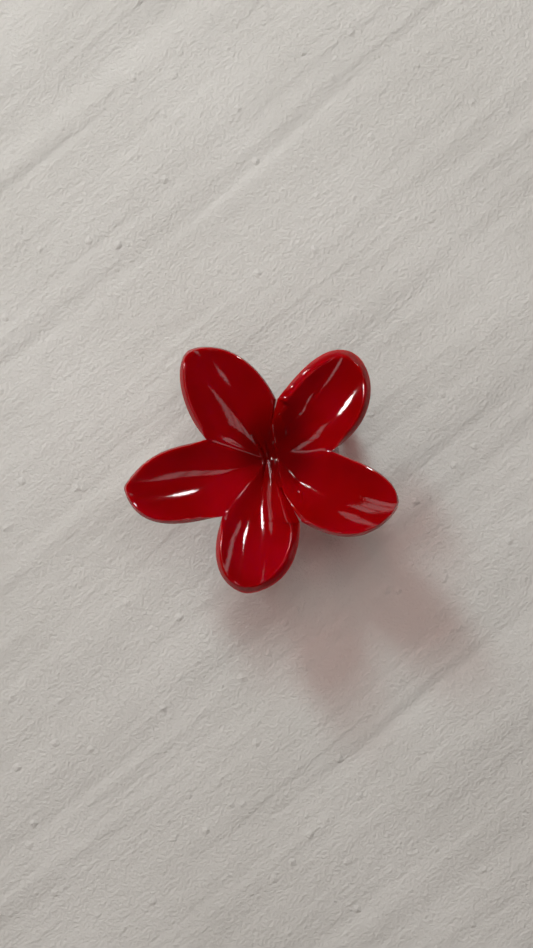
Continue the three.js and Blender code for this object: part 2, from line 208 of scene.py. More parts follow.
class Petal:
    """One petal in plan and height. tip is (angle, radius), and half names its moulding."""

    def __init__(self, tip, half, right, left, crease_reach=20.0, tip_share=0.955):
        self.tip, self.half, self.crease_reach = polar(*tip), half, crease_reach
        self.tip_share = tip_share  # past it the outline rounds the tip
        self.along = unit(self.tip)
        self.normal = np.array([-self.along[1], self.along[0]])
        self.sides = {-1: right, 1: left}
        shares = [mix(RIDGE_SHARE, 1.0, i / 60) for i in range(61)]
        self.full_width, self.widest = max((self.width(s), s) for s in shares)

    def width(self, s):
        return float(np.linalg.norm(self.inner(1, s) - self.inner(-1, s)))

    def spread(self, s):
        """Past its widest place a petal is a spoon: the cup keeps its curve while the rim
        comes in, so the rim reaches less far up the cup."""
        return 1.0 if s <= self.widest else min(1.0, self.width(s) / self.full_width)

    def outline(self, sign, s):
        """The petal's outer edge in plan, along its ridge and then its free rim."""
        if s > self.tip_share:
            a, b = self.side_curve(sign, self.tip_share), self.side_curve(-sign, self.tip_share)
            t = (s - self.tip_share) / (1 - self.tip_share) / 2
            return a * (1 - t) ** 2 + self.tip * 2 * t * (1 - t) + b * t * t
        return self.side_curve(sign, s)

    def side_curve(self, sign, s):
        side = self.sides[sign]
        corner = polar(*NOTCHES[side.notch])
        if self.half == "two":
            lap = SEAM_LAP * (1 - smooth((s - LAP_FADE_FROM) / LAP_FADE))
            start = corner * (SEAM_X / corner[0])
        else:
            lap = 0.0
            start = unit(corner) * THROAT_HOLE
        if s < RIDGE_SHARE:
            return mix(start, corner, s / RIDGE_SHARE) - np.array([lap, 0.0])
        across = self.normal * sign
        leave, arrive = math.radians(side.leave), math.radians(side.arrive)
        a = corner + side.leave_full * (
            self.along * math.cos(leave) + across * math.sin(leave))
        b = self.tip + side.arrive_full * (
            -self.along * math.cos(arrive) + across * math.sin(arrive))
        return bezier((corner, a, b, self.tip), (s - RIDGE_SHARE) / (1 - RIDGE_SHARE))

    def band(self, sign, s):
        side = self.sides[sign]
        if side.seam:
            grown = smooth(s / RIDGE_SHARE)
        else:
            grown = smooth((s - RIDGE_SHARE) / BAND_GROWS)
        tip_band = (self.sides[1].band + self.sides[-1].band) / 2
        near_tip = smooth((s - TIP_BAND_FROM) / (1 - TIP_BAND_FROM))
        return mix(side.band, tip_band, near_tip) * grown

    def inner(self, sign, s):
        """The top surface's edge in plan: the outline, in by the band."""
        ahead = self.outline(sign, min(1.0, s + SLOPE_STEP))
        behind = self.outline(sign, max(0.0, s - SLOPE_STEP))
        direction = unit(ahead - behind)
        outward = np.array([-direction[1], direction[0]]) * sign
        outward = unit(mix(outward, self.along, smooth((s - TIP_TURN) / (1 - TIP_TURN))))
        return self.outline(sign, s) - outward * self.band(sign, s)

    def ends(self, edge, s):
        """For each side, the edge's point at s and a version eased past the notch. edge is
        self.outline or self.inner."""
        reach = min(NOTCH_EASE, s, 1 - s)
        ends = {}
        for sign in (-1, 1):
            steps = range(-EASE_STEPS, EASE_STEPS + 1)
            eased = sum((EASE_STEPS + 1 - abs(m)) * edge(sign, s + reach * m / EASE_STEPS)
                        for m in steps) / (EASE_STEPS + 1) ** 2
            ends[sign] = (eased, edge(sign, s))
        return ends

    def height(self, p, v):
        """Top surface height over p, where v runs from -1 to 1 across the cup."""
        radius = float(np.linalg.norm(p))
        side = self.sides[1 if v > 0 else -1]
        notch_radius = NOTCHES[side.notch][1]
        lift = edge_lift(min(radius, CUP_PEAK))
        if side.seam and self.half == "two":
            lift += SEAM_LIP * (1 - smooth((radius - notch_radius) / SEAM_LIP_FADE))
        power = mix(*CUP_POWERS, smooth((radius - CREASE_FROM) / self.crease_reach))
        crested = 1 - smooth((radius - notch_radius - CREST_FROM) / CREST_FADE)
        z = midline(radius) + lift * cup_profile(abs(v), power, crested)
        return self.keep_to_side(p, z, False)

    def keep_to_side(self, p, z, below):
        """Moves a height to this half's side of the seam."""
        low, high = SEAM_END_Y
        if not low < p[1] < high:
            return z
        if self.half == "two":
            if below:
                return max(z, barrel_top(p[0], p[1], HALF_GAP))
            z = soft_max(z, barrel_top(p[0], p[1], SEAM_LIP), SEAM_BLEND)
            edge = SEAM_X - SEAM_LAP + LAP_ROUND - p[0]
            if edge > 0:
                z -= LAP_ROUND - math.sqrt(max(0.0, LAP_ROUND**2 - edge**2))
            return z
        if below:
            return z
        climb = HOOD_CLIMB * max(0.0, HINGE_X - HOOD_REACH * barrel_radius(p[1]) - p[0])
        return -soft_max(-z, -barrel_top(p[0], p[1], -HOOD_PLAY) - climb, HOOD_BLEND)

    def wall(self, p):
        return mix(SHEET_AT_THROAT, SHEET, smooth(
            (float(np.linalg.norm(p)) - SHEET_GROWS_FROM) / SHEET_GROWS_OVER))


ROUND = 0.5  # rounding of the rim's two corners
ROUND_GROWS = 0.05  # past the notch
ROUND_OF_WIDTH, ROUND_OF_WALL = 0.2, 0.4  # the most that it takes of either
ROUND_STEPS = 3
EDGE_POINTS = 2 * ROUND_STEPS
COLUMNS = 44
RIDGE_ROWS, RIM_ROWS = 24, 50
LAP_ROWS = (0.0, 0.001, 0.003, 0.006, 0.01)
EVEN_SHARE = 0.25  # of the rim's rows: 1 is evenly spaced
WELD = 2e-6


def rounded(a, corner, b):
    """Points that go from a to b round a corner, ends included."""
    steps = [i / ROUND_STEPS for i in range(ROUND_STEPS + 1)]
    return [a * (1 - t) ** 2 + corner * 2 * t * (1 - t) + b * t * t for t in steps]


def petal_ring(petal, s):
    """The closed cross-section of a petal at s: top, one edge, underside, other edge."""
    inner, outer = petal.ends(petal.inner, s), petal.ends(petal.outline, s)
    width = float(np.linalg.norm(inner[1][1] - inner[-1][1]))
    spread = petal.spread(s)

    def across(ends, v):
        eased, exact = (mix(ends[-1][i], ends[1][i], (v + 1) / 2) for i in (0, 1))
        return mix(eased, exact, abs(v) ** 3)

    def top(v):
        p = across(inner, v)
        return np.array([p[0], p[1], petal.height(p, v * spread)])

    def under(v):
        p, q = across(outer, v), across(inner, v)
        z = petal.height(q, v * spread) - petal.wall(p)
        return np.array([p[0], p[1], petal.keep_to_side(p, z, True)])

    reach = {}
    for k in (-1, 1):
        grown = 1.0 if petal.sides[k].seam else smooth((s - RIDGE_SHARE) / ROUND_GROWS)
        reach[k] = min(ROUND * grown, width * ROUND_OF_WIDTH)
    first, last = (-1 + 2 * reach[-1] / max(width, 1e-6)), (1 - 2 * reach[1] / max(width, 1e-6))
    upper = [top(mix(first, last, j / COLUMNS)) for j in range(COLUMNS + 1)]
    lower = [under(mix(last, first, j / COLUMNS)) for j in range(COLUMNS + 1)]

    def edge(k, start, end):
        a, b = top(k), under(k)
        wall = float(np.linalg.norm(b - a))
        step = unit(b - a) * min(reach[k], wall * ROUND_OF_WALL)
        return (rounded(start, a, a + step) + rounded(b - step, b, end))[1:-1]

    return upper + edge(1, upper[-1], lower[0]) + lower + edge(-1, upper[0], lower[-1])[::-1]


def petal_rows():
    """Shares along a petal: close at the lap, even along the ridge, then closer at the
    notch and tip."""
    rows = list(LAP_ROWS)
    rows += [RIDGE_SHARE * i / RIDGE_ROWS for i in range(1, RIDGE_ROWS)]
    for i in range(RIM_ROWS + 1):
        t = i / RIM_ROWS
        t = mix((1 - math.cos(math.pi * t)) / 2, t, EVEN_SHARE)
        rows.append(RIDGE_SHARE + (1 - RIDGE_SHARE) * t)
    return rows


def flower_half(half):
    """The petals of one half as one closed shell, joined along their shared ridges."""
    bm = bmesh.new()
    rows = petal_rows()
    count = 2 * (COLUMNS + 1) + 2 * EDGE_POINTS
    edge_start = {1: COLUMNS, -1: 2 * COLUMNS + 1 + EDGE_POINTS}
    for data in PETALS.values():
        if data["half"] != half:
            continue
        petal = Petal(**data)
        rings = [[bm.verts.new(p * MM) for p in petal_ring(petal, s)] for s in rows]
        for i in range(len(rows) - 1):
            skipped = set()
            if rows[i + 1] <= RIDGE_SHARE + 1e-9:
                for k, start in edge_start.items():
                    if not petal.sides[k].seam:
                        skipped.update(range(start, start + EDGE_POINTS + 1))
            for j in range(count):
                if j not in skipped:
                    k = (j + 1) % count
                    bm.faces.new((rings[i][j], rings[i + 1][j], rings[i + 1][k], rings[i][k]))
        if half == "two":
            close_inner_end(bm, rings[0])
    bmesh.ops.remove_doubles(bm, verts=bm.verts, dist=WELD)
    bmesh.ops.dissolve_degenerate(bm, edges=bm.edges, dist=1e-7)
    bmesh.ops.holes_fill(bm, edges=[e for e in bm.edges if e.is_boundary])
    bmesh.ops.recalc_face_normals(bm, faces=bm.faces)
    return bm


def close_inner_end(bm, ring):
    top = ring[: COLUMNS + 1]
    start = COLUMNS + 1 + EDGE_POINTS
    low = ring[start: start + COLUMNS + 1][::-1]
    for j in range(COLUMNS):
        bm.faces.new((top[j], top[j + 1], low[j + 1], low[j]))
    bm.faces.new([top[-1], *ring[COLUMNS + 1: start], low[-1]])
    bm.faces.new([low[0], *ring[start + COLUMNS + 1:], top[0]])


def new_object(name, bm):
    mesh = bpy.data.meshes.new(name)
    bm.to_mesh(mesh)
    bm.free()
    obj = bpy.data.objects.new(name, mesh)
    bpy.context.scene.collection.objects.link(obj)
    return obj


# ------------------------------------------------------------------------------ jaws
JAW_REACH, JAW_REACH_Z = 20.0, 17.0
JAW_WALL, TOOTH_TIP = 2.4, 1.3
JAW_HALF_WIDTH = 21.0
TOOTH_PITCH, TOOTH_WIDTH = 4.9, 3.0
TOOTH_CROSSING = 3.5
JAW_SPLIT = 0.5  # share of a jaw's length where its teeth begin
TOOTH_OVERLAP = 0.05
ROOT_WIDTH, ROOT_FROM, ROOT_FADE = 1.35, -0.04, 0.12  # counted from the split
TIP_WIDTH, TIP_NARROWS_FROM, TIP_THINS_FROM = 0.72, 0.72, 0.75
SHOULDER, SHOULDER_FADE = 5, 0.3  # a jaw is narrower by this on each side at its neck
TOOTH_POWER, JAW_POWER = 3.2, 14  # roundness of a section: 2 is an ellipse
BAND_SIDES = 28


def jaw_curve():
    """Evenly spaced points of a jaw's outer face, out from the hinge axis and up."""
    parts = [
        ((7.2, 32), (14, 30.8), (JAW_REACH, 25.5), (JAW_REACH, JAW_REACH_Z)),
        ((JAW_REACH, JAW_REACH_Z), (JAW_REACH, 7), (16, 0), (9, 0)),
        ((9, 0), (5.8, 0), (2.7, 0), (-0.5, 0)),
        ((-0.5, 0), (-2.2, 0), (-TOOTH_CROSSING + 0.6, 0.3), (-TOOTH_CROSSING, 1)),
    ]
    points = []
    for part in parts:
        corners = [np.array(p, float) for p in part]
        points += [bezier(corners, i / 40) for i in range(40)]
    points.append(np.array(parts[-1][-1], float))
    points = np.array(points)
    along = np.concatenate([[0], np.cumsum(np.linalg.norm(np.diff(points, axis=0), axis=1))])
    even = np.linspace(0, along[-1], 161)
    return np.stack([np.interp(even, along, points[:, k]) for k in (0, 1)], axis=1)


JAW_CURVE = jaw_curve()


def jaw_point(share):
    """(point, inward normal) of the jaw's outer face at a share of its length."""
    x = min(1.0, max(0.0, share)) * (len(JAW_CURVE) - 1)
    i = min(len(JAW_CURVE) - 2, int(x))
    tangent = unit(JAW_CURVE[min(i + 2, len(JAW_CURVE) - 1)] - JAW_CURVE[max(i - 1, 0)])
    return mix(JAW_CURVE[i], JAW_CURVE[i + 1], x - i), np.array([tangent[1], -tangent[0]])


NECK_FROM, NECK_TO, NECK_WIDTH = 6.2, 11.5, 22.0  # out from the hinge axis
NECK_BITE = 0.7  # how far it runs into the petals' wall
NECK_BELOW = 0.6  # below the hinge axis
NECK_ROWS, NECK_COLUMNS = 24, 8
PROBE_BELOW = 2  # below the hinge axis: where the rays to the petals start
EYE_R, EYE_BORE_R, EYE_LENGTH = 2.5, 1.1, 2.8
EYES_Y = {"three": (-14.6, 13.6), "two": (-11.4, 10.4)}  # their middles
ARM_REACH, ARM_BELOW, ARM_ABOVE = 8.5, 1.3, 0.9  # from the hinge axis


def swept_band(direction, y, shares, half_width, thickness, power):
    """A bar along the jaw's curve. half_width and thickness are functions of the share."""
    bm = bmesh.new()
    rings = []
    for share in shares:
        outer, inward = jaw_point(share)
        half, wall = half_width(share), thickness(share)
        ring = []
        for i in range(BAND_SIDES):
            a = 2 * math.pi * (i + 0.5) / BAND_SIDES
            c, d = math.cos(a), math.sin(a)
            across = math.copysign(abs(c) ** (2 / power), c) * half
            deep = wall / 2 + math.copysign(abs(d) ** (2 / power), d) * wall / 2
            p = outer + inward * deep
            ring.append(bm.verts.new(
                Vector((HINGE_X + direction * p[0], y + across, p[1])) * MM))
        rings.append(ring)
    for a, b in zip(rings, rings[1:]):
        for i in range(BAND_SIDES):
            j = (i + 1) % BAND_SIDES
            bm.faces.new((a[i], b[i], b[j], a[j]))
    bm.faces.new(rings[0])
    bm.faces.new(rings[-1][::-1])
    bmesh.ops.recalc_face_normals(bm, faces=bm.faces)
    return bm


def box_mesh(low, high):
    bm = bmesh.new()
    bmesh.ops.create_cube(bm, size=1)
    for v in bm.verts:
        v.co = Vector(mix(low[k], high[k], v.co[k] + 0.5) * MM for k in range(3))
    return bm


def hinge_cylinder(radius, from_y, to_y, segments=48):
    bm = bmesh.new()
    bmesh.ops.create_cone(
        bm, cap_ends=True, segments=segments, radius1=radius * MM, radius2=radius * MM,
        depth=(to_y - from_y) * MM)
    turn = Matrix.Rotation(math.pi / 2, 4, "X")
    move = Matrix.Translation(Vector((HINGE_X, (from_y + to_y) / 2, HINGE_Z)) * MM)
    bmesh.ops.transform(bm, matrix=move @ turn, verts=bm.verts)
    return bm


def apply_modifiers(obj):
    bpy.context.view_layer.update()
    mesh = bpy.data.meshes.new_from_object(
        obj.evaluated_get(bpy.context.evaluated_depsgraph_get()))
    old = obj.data
    obj.modifiers.clear()
    obj.data = mesh
    bpy.data.meshes.remove(old)


def combine(obj, others, operation):
    for other in others:
        modifier = obj.modifiers.new(operation, "BOOLEAN")
        modifier.operation = operation
        modifier.solver = "MANIFOLD"
        modifier.object = other
    apply_modifiers(obj)
    for other in others:
        mesh = other.data
        bpy.data.objects.remove(other)
        bpy.data.meshes.remove(mesh)
    return obj


def tooth_width(share):
    root = mix(ROOT_WIDTH, 1.0, smooth((share - JAW_SPLIT - ROOT_FROM) / ROOT_FADE))
    near_tip = smooth((share - TIP_NARROWS_FROM) / (1 - TIP_NARROWS_FROM))
    return TOOTH_WIDTH / 2 * root * mix(1.0, TIP_WIDTH, near_tip)


def jaw_thickness(share):
    near_tip = smooth((share - TIP_THINS_FROM) / (1 - TIP_THINS_FROM))
    return mix(JAW_WALL, TOOTH_TIP, near_tip)


def jaw_half_width(share):
    return mix(JAW_HALF_WIDTH - SHOULDER, JAW_HALF_WIDTH, smooth(share / SHOULDER_FADE))


def neck_mesh(direction, flower):
    """Fills the space between a jaw's upper edge and the underside of the petals."""
    tree = BVHTree.FromObject(flower, bpy.context.evaluated_depsgraph_get())
    bm = bmesh.new()
    upper, lower = [], []
    for i in range(NECK_ROWS + 1):
        for j in range(NECK_COLUMNS + 1):
            x = HINGE_X + direction * mix(NECK_FROM, NECK_TO, j / NECK_COLUMNS)
            y = mix(-NECK_WIDTH / 2, NECK_WIDTH / 2, i / NECK_ROWS)
            start = Vector((x, y, HINGE_Z - PROBE_BELOW)) * MM
            hit = tree.ray_cast(start, Vector((0, 0, 1)))[0]
            upper.append(bm.verts.new((x * MM, y * MM, hit.z + NECK_BITE * MM)))
            lower.append(bm.verts.new((x * MM, y * MM, (HINGE_Z - NECK_BELOW) * MM)))
    close_grids(bm, upper, lower, NECK_ROWS, NECK_COLUMNS)
    return bm


def jaw_mesh(name, direction, teeth, eyes, flower):
    shares = np.linspace(0, JAW_SPLIT, 40)
    wall = new_object(name, swept_band(
        direction, 0, shares, jaw_half_width, jaw_thickness, JAW_POWER))
    parts = [new_object("neck", neck_mesh(direction, flower))]
    for i in range(teeth):
        y = (i - (teeth - 1) / 2) * 2 * TOOTH_PITCH
        shares = np.linspace(JAW_SPLIT - TOOTH_OVERLAP, 1, 70)
        parts.append(new_object("tooth", swept_band(
            direction, y, shares, tooth_width, jaw_thickness, TOOTH_POWER)))
    for y in eyes:
        low, high = y - EYE_LENGTH / 2, y + EYE_LENGTH / 2
        parts.append(new_object("eye", hinge_cylinder(EYE_R, low, high)))
        near, far = sorted((HINGE_X, HINGE_X + direction * ARM_REACH))
        parts.append(new_object("arm", box_mesh(
            (near, low, HINGE_Z - ARM_BELOW), (far, high, HINGE_Z + ARM_ABOVE))))
    return combine(wall, parts, "UNION")


# --------------------------------------------------------------------- two mouldings
VOXEL = 0.3
FILLET_PASSES, FILLET_FACTOR = 4, 0.5
MOULDING_SHARP, PIN_SHARP = math.radians(32), math.radians(50)
FLOOR_REACH, FLOOR_THICKNESS, FLOOR_OVERLAP = 9.0, 1.5, 0.8
FLOOR_DROP = 0.15  # of its far edge, below the seam
FLOOR_LEAST = 0.2  # extent in X
FLOOR_GRID = 40, 12


def throat_floor():
    """The floor of the throat between the three-petal half's ridges, over the pin."""
    rows, columns = FLOOR_GRID
    bm = bmesh.new()
    upper, lower = [], []
    for i in range(rows + 1):
        y = FLOOR_REACH - 2 * FLOOR_REACH * i / rows
        ridge = NOTCHES["upper" if y > 0 else "lower"][0]
        from_x = abs(y / math.tan(math.radians(ridge))) - FLOOR_OVERLAP
        to_x = SEAM_X - HALF_GAP
        for j in range(columns + 1):
            x = mix(min(from_x, to_x - FLOOR_LEAST), to_x, j / columns)
            hood_end = HINGE_X - HOOD_REACH * barrel_radius(y)
            on_barrel = barrel_top(max(x, hood_end), y, -HOOD_PLAY)
            z = on_barrel - FLOOR_DROP * (1 - smooth(j / columns))
            upper.append(bm.verts.new((x * MM, y * MM, z * MM)))
            lower.append(bm.verts.new((x * MM, y * MM, (z - FLOOR_THICKNESS) * MM)))
    close_grids(bm, upper, lower, rows, columns)
    return bm


def close_grids(bm, upper, lower, rows, columns):
    """Faces between two grids of vertices of the same size, and round their border."""
    def at(grid, i, j):
        return grid[i * (columns + 1) + j]

    for i in range(rows):
        for j in range(columns):
            for grid in (upper, lower):
                bm.faces.new((at(grid, i, j), at(grid, i, j + 1),
                              at(grid, i + 1, j + 1), at(grid, i + 1, j)))
    border = [(0, j) for j in range(columns)] + [(i, columns) for i in range(rows)]
    border += [(rows, j) for j in range(columns, 0, -1)] + [(i, 0) for i in range(rows, 0, -1)]
    for a, b in zip(border, border[1:] + border[:1]):
        bm.faces.new((at(upper, *a), at(upper, *b), at(lower, *b), at(lower, *a)))
    bmesh.ops.recalc_face_normals(bm, faces=bm.faces)


def moulding(name, half, direction, teeth):
    eyes = EYES_Y[half]
    flower = new_object(name, flower_half(half))
    jaw = jaw_mesh("jaw", direction, teeth, eyes, flower)
    remesh = jaw.modifiers.new("fillets", "REMESH")
    remesh.mode = "VOXEL"
    remesh.voxel_size = VOXEL * MM
    soften = jaw.modifiers.new("soften", "SMOOTH")
    soften.factor = FILLET_FACTOR
    soften.iterations = FILLET_PASSES
    apply_modifiers(jaw)
    for v in jaw.data.vertices:
        v.co.z = max(v.co.z, 0.0)
    bores = [
        new_object("bore", hinge_cylinder(EYE_BORE_R, y - EYE_LENGTH, y + EYE_LENGTH))
        for y in eyes]
    combine(jaw, bores, "DIFFERENCE")
    parts = [jaw]
    if half == "three":
        parts.append(new_object("floor", throat_floor()))
    combine(flower, parts, "UNION")
    flower.data.shade_smooth()
    flower.data.set_sharp_from_angle(angle=MOULDING_SHARP)
    return flower


three_half = moulding("three_petal_moulding", "three", -1, 5)
two_half = moulding("two_petal_moulding", "two", 1, 4)


# ------------------------------------------------------------------- pin and spring
def close_tube(bm, rings):
    """Faces between rings of vertices of the same size, and over both ends."""
    sides = len(rings[0])
    for a, b in zip(rings, rings[1:]):
        for i in range(sides):
            j = (i + 1) % sides
            bm.faces.new((a[i], a[j], b[j], b[i]))
    bm.faces.new(rings[0])
    bm.faces.new(rings[-1])
    bmesh.ops.recalc_face_normals(bm, faces=bm.faces)


def lathe(stations, segments=64):
    """A solid of revolution round the hinge axis from (radius, y) stations."""
    bm = bmesh.new()
    rings = []
    for radius, y in stations:
        ring = []
        for i in range(segments):
            a = 2 * math.pi * i / segments
            ring.append(bm.verts.new(Vector((
                HINGE_X + radius * math.cos(a), y, HINGE_Z + radius * math.sin(a))) * MM))
        rings.append(ring)
    close_tube(bm, rings)
    return bm


PIN_R, PIN_PLAY, PIN_FILLET = 1.0, 0.3, 0.12
HEAD_R, HEAD_HEIGHT, HEAD_STEPS = 1.7, 0.7, 10
PEENED_WIDTH, PEENED_HEIGHT = 0.94, 0.9  # of the domed head's
APEX_R = 0.02  # a dome ends in a small flat


def hinge_pin():
    """A straight pin with one domed head and one end peened over."""
    first_eye, last_eye = EYES_Y["three"]
    low = first_eye - EYE_LENGTH / 2 - PIN_PLAY
    high = last_eye + EYE_LENGTH / 2 + PIN_PLAY
    dome = [
        (HEAD_R * math.cos(a) + APEX_R, math.sin(a) * HEAD_HEIGHT)
        for a in (math.pi / 2 * i / HEAD_STEPS for i in range(HEAD_STEPS + 1))]
    stations = [(r, low - h) for r, h in reversed(dome)]
    stations += [
        (PIN_R + PIN_FILLET, low), (PIN_R, low + PIN_FILLET),
        (PIN_R, high - PIN_FILLET), (PIN_R + PIN_FILLET, high)]
    stations += [(r * PEENED_WIDTH, high + h * PEENED_HEIGHT) for r, h in dome]
    obj = new_object("domed_hinge_pin", lathe(stations))
    obj.data.shade_smooth()
    obj.data.set_sharp_from_angle(angle=PIN_SHARP)
    return obj


WIRE_R, COIL_R, COIL_PITCH = 0.4, 1.85, 0.95
COIL_TURNS, COIL_START_Y = 4, -9.1
LEG_LENGTH, LEG_ANGLE = 17.0, math.radians(22)
COIL_LENGTH = (2 * math.pi * (COIL_TURNS + 1) - 2 * LEG_ANGLE) * COIL_R
WIRE_SIDES, WIRE_STATIONS, END_STEPS, END_LENGTH = 20, 360, 5, 1.2
WIRE_LEAST_R, TANGENT_STEP = 0.01, 0.02


def spring_path(along):
    """Centre of the wire at a length along it, from 0 where the coil starts."""
    on_coil = min(COIL_LENGTH, max(0.0, along))
    beyond = along - on_coil
    a = -math.pi / 2 + LEG_ANGLE + on_coil / COIL_R
    return np.array([
        HINGE_X + COIL_R * math.cos(a) - beyond * math.sin(a),
        COIL_START_Y + COIL_PITCH * on_coil / (2 * math.pi * COIL_R),
        HINGE_Z + COIL_R * math.sin(a) + beyond * math.cos(a)])


def torsion_spring():
    """Wound wire with a rounded end on each leg."""
    rounded_end = [
        WIRE_R * (1 - math.cos(math.pi / 2 * i / END_STEPS)) for i in range(END_STEPS + 1)]
    first, last = -LEG_LENGTH, COIL_LENGTH + LEG_LENGTH
    stations = [first + d for d in rounded_end]
    stations += list(np.linspace(first + END_LENGTH, last - END_LENGTH, WIRE_STATIONS))
    stations += [last - d for d in reversed(rounded_end)]
    bm = bmesh.new()
    rings = []
    for s in stations:
        from_end = min(s - first, last - s)
        inside = max(0.0, WIRE_R - from_end)
        radius = math.sqrt(max(0.0, WIRE_R**2 - inside**2)) + WIRE_LEAST_R
        tangent = unit(spring_path(s + TANGENT_STEP) - spring_path(s - TANGENT_STEP))
        across = unit(np.cross(tangent, (0.0, 1.0, 0.0)))
        other = np.cross(across, tangent)
        ring = []
        for i in range(WIRE_SIDES):
            a = 2 * math.pi * i / WIRE_SIDES
            p = spring_path(s) + (across * math.cos(a) + other * math.sin(a)) * radius
            ring.append(bm.verts.new(p * MM))
        rings.append(ring)
    close_tube(bm, rings)
    obj = new_object("wound_torsion_spring", bm)
    obj.data.shade_smooth()
    return obj


pin = hinge_pin()
spring = torsion_spring()


# ------------------------------------------------------------------------- materials
def new_material(name):
    material = bpy.data.materials.new(name)
    material.use_nodes = True
    tree = material.node_tree
    shader = tree.nodes["Principled BSDF"]
    return material, tree, shader


def node(tree, kind, inputs=None, **settings):
    made = tree.nodes.new(kind)
    for key, value in settings.items():
        setattr(made, key, value)
    for key, value in (inputs or {}).items():
        if isinstance(value, bpy.types.NodeSocket):
            tree.links.new(value, made.inputs[key])
        else:
            made.inputs[key].default_value = value
    return made


def noise(tree, place, scale, detail, roughness, distortion=0.0):
    return node(tree, "ShaderNodeTexNoise", {
        "Vector": place, "Scale": scale, "Detail": detail, "Roughness": roughness,
        "Distortion": distortion}).outputs["Fac"]


def colour_ramp(tree, factor, low, high):
    """low and high are (position, colour)."""
    made = node(tree, "ShaderNodeValToRGB", {"Fac": factor})
    for element, (position, colour) in zip(made.color_ramp.elements, (low, high)):
        element.position, element.color = position, (*colour, 1)
    return made


def map_range(tree, value, from_low, from_high, to_low, to_high, **settings):
    return node(tree, "ShaderNodeMapRange", {
        "Value": value, "From Min": from_low, "From Max": from_high,
        "To Min": to_low, "To Max": to_high}, **settings).outputs["Result"]


def bumped(tree, height, strength, distance, under=None):
    """A normal raised by a height, over the normal under it."""
    inputs = {"Height": height, "Strength": strength, "Distance": distance}
    if under:
        inputs["Normal"] = under
    return node(tree, "ShaderNodeBump", inputs).outputs["Normal"]


PAINTED_SHADE_CENTRE = (0.0035, 0.0030, 0.0345)  # centre of the painted shade: round it the base colour is darkened, where light hardly gets in between the petals
STROKE_SLANT = math.radians(29)  # of the trowel strokes, from +X


def red_plastic():
    material, tree, shader = new_material("red_plastic_gloss")
    place = node(tree, "ShaderNodeTexCoord").outputs["Object"]
    patches = noise(tree, place, 45.0, 2.0, 0.5)
    colour = colour_ramp(
        tree, patches, (0.35, (0.215, 0.0, 0.0)), (0.62, (0.275, 0.0, 0.0045)))
    # Painted shade: the base colour darkens towards the throat, down to 0.45 of itself, where
    # light hardly gets in between the petals.
    deep = node(tree, "ShaderNodeVectorMath", {
        0: place, 1: PAINTED_SHADE_CENTRE}, operation="DISTANCE").outputs["Value"]
    painted_shade = map_range(tree, deep, 0.004, 0.016, 0.45, 1.0, interpolation_type="SMOOTHSTEP")
    painted_shade_colour = node(tree, "ShaderNodeVectorMath", {
        0: colour.outputs["Color"], "Scale": painted_shade}, operation="SCALE")
    tree.links.new(painted_shade_colour.outputs["Vector"], shader.inputs["Base Color"])

    smears = noise(tree, place, 160.0, 4.0, 0.6)
    gloss = map_range(tree, smears, 0.3, 0.75, 0.035, 0.085)
    tree.links.new(gloss, shader.inputs["Roughness"])

    waves = bumped(tree, noise(tree, place, 90.0, 2.0, 0.4), 0.35, 0.00015)
    pits = bumped(tree, noise(tree, place, 1400.0, 2.0, 0.5), 0.5, 0.00002, waves)
    tree.links.new(pits, shader.inputs["Normal"])
    shader.inputs["IOR"].default_value = 1.5
    shader.inputs["Subsurface Weight"].default_value = 0.85
    shader.inputs["Subsurface Radius"].default_value = (1.0, 0.03, 0.03)
    shader.inputs["Subsurface Scale"].default_value = 0.006

    # Some light passes through the wall, and reddens the shadow.
    through = node(tree, "ShaderNodeBsdfTransparent", {"Color": (0.5, 0.0, 0.0, 1)})
    passing = node(tree, "ShaderNodeLightPath").outputs["Is Shadow Ray"]
    surface = node(tree, "ShaderNodeMixShader", {
        0: passing, 1: shader.outputs["BSDF"], 2: through.outputs["BSDF"]})
    tree.links.new(surface.outputs["Shader"], tree.nodes["Material Output"].inputs["Surface"])
    return material


def steel(name, colour, roughness, grain):
    """Drawn steel: fine lines round the axis Y, with a little unevenness."""
    material, tree, shader = new_material(name)
    place = node(tree, "ShaderNodeTexCoord").outputs["Object"]
    scaled = node(tree, "ShaderNodeMapping", {"Vector": place, "Scale": grain})
    lines = noise(tree, scaled.outputs["Vector"], 60.0, 5.0, 0.6)
    tint = colour_ramp(tree, lines, (0.3, [c * 0.7 for c in colour]), (0.7, colour))
    tree.links.new(tint.outputs["Color"], shader.inputs["Base Color"])
    spread = map_range(tree, lines, 0.3, 0.7, roughness * 0.8, roughness * 1.3)
    tree.links.new(spread, shader.inputs["Roughness"])
    tree.links.new(bumped(tree, lines, 0.2, 0.00005), shader.inputs["Normal"])
    shader.inputs["Metallic"].default_value = 1.0
    return material


